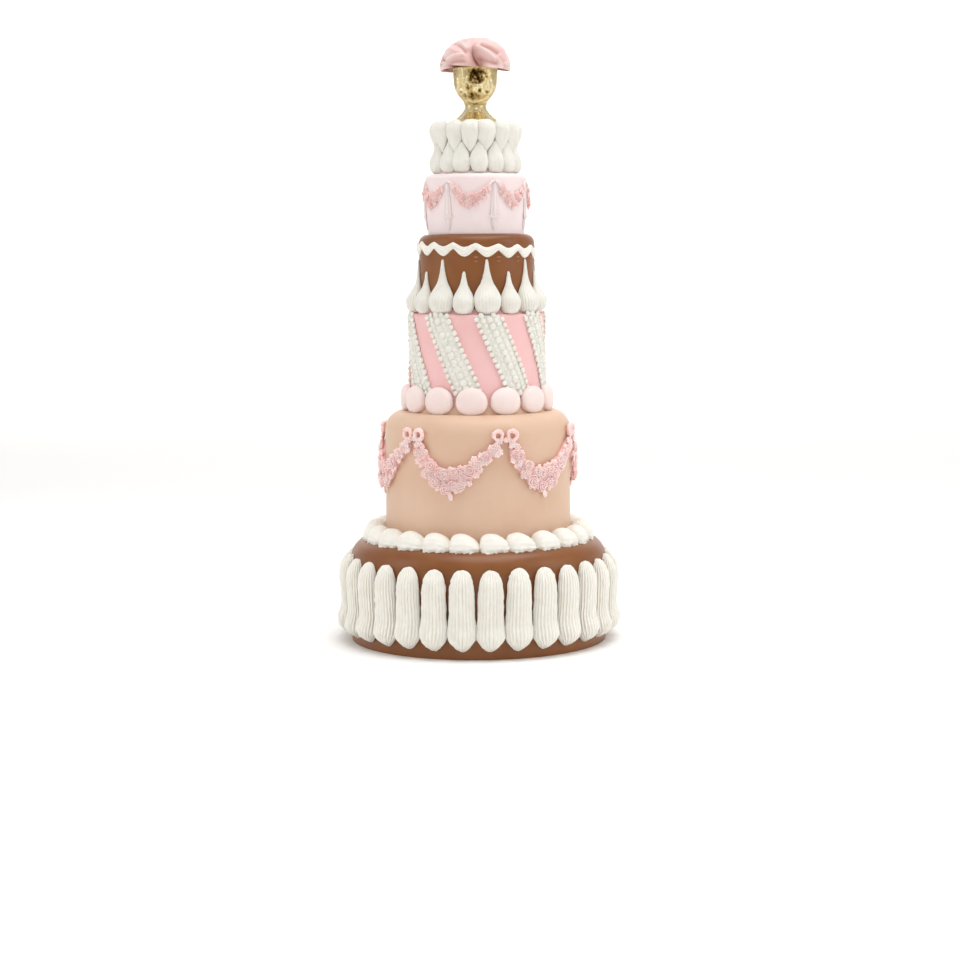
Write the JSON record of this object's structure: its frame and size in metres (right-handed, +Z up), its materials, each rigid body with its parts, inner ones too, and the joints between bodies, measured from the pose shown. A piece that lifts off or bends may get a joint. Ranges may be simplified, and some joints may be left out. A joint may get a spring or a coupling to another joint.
{
  "type": "tiered cake",
  "caption": "Tall tiered celebration cake with rounded fondant tiers, piped icing, sugar flower garlands, pearl bands and a gilt cup with a sugar bloom on top.",
  "frame": {"origin": "middle of the cake's flat underside", "axes": "+Z up along the cake's axis, -Y towards the front that the picture shows, +X to its right"},
  "size_m": [0.288, 0.288, 0.6006],
  "materials": {
    "chocolate_fondant": "rolled chocolate fondant, smooth, soft sheen",
    "beige_fondant": "rolled beige fondant, smooth, soft sheen",
    "pink_fondant": "rolled pink fondant, smooth, soft sheen",
    "blush_fondant": "rolled blush fondant, smooth, soft sheen",
    "white_fondant": "rolled white fondant",
    "royal_icing": "piped royal icing, ridged, matt",
    "pale_pink_fondant": "rolled balls of pale pink fondant",
    "pearl_icing": "piped ivory pearls",
    "rose_sugar_paste": "pressed sugar paste flowers, matt",
    "gilt": "antiqued gilt with dark patina in its hollows",
    "satin_sugar": "thin satin sugar petals"
  },
  "bodies": {
    "root": {"tier_1_chocolate": "chocolate_fondant", "tier_2_beige": "beige_fondant", "tier_3_pink": "pink_fondant", "tier_4_chocolate": "chocolate_fondant", "tier_5_blush": "blush_fondant", "tier_6_white": "white_fondant", "piped_fingers": "royal_icing", "scallop_border": "royal_icing", "flower_garland": "rose_sugar_paste", "ball_01": "pale_pink_fondant", "ball_02": "pale_pink_fondant", "ball_03": "pale_pink_fondant", "ball_04": "pale_pink_fondant", "ball_05": "pale_pink_fondant", "ball_06": "pale_pink_fondant", "ball_07": "pale_pink_fondant", "ball_08": "pale_pink_fondant", "ball_09": "pale_pink_fondant", "ball_10": "pale_pink_fondant", "ball_11": "pale_pink_fondant", "ball_12": "pale_pink_fondant", "ball_13": "pale_pink_fondant", "pearl_band_1": "pearl_icing", "pearl_band_2": "pearl_icing", "pearl_band_3": "pearl_icing", "pearl_band_4": "pearl_icing", "pearl_band_5": "pearl_icing", "pearl_band_6": "pearl_icing", "pearl_band_7": "pearl_icing", "pearl_band_8": "pearl_icing", "teardrop_border": "royal_icing", "wave_trim": "royal_icing", "small_garland_1": "rose_sugar_paste", "small_garland_2": "rose_sugar_paste", "small_garland_3": "rose_sugar_paste", "small_garland_4": "rose_sugar_paste", "small_garland_5": "rose_sugar_paste", "small_garland_6": "rose_sugar_paste", "small_garland_7": "rose_sugar_paste", "pendant_1": "royal_icing", "pendant_2": "royal_icing", "pendant_3": "royal_icing", "pendant_4": "royal_icing", "pendant_5": "royal_icing", "pendant_6": "royal_icing", "pendant_7": "royal_icing", "lower_top_drops": "royal_icing", "upper_top_drops": "royal_icing", "gilt_cup": "gilt", "sugar_bloom": "satin_sugar"}
  },
  "joints": []
}
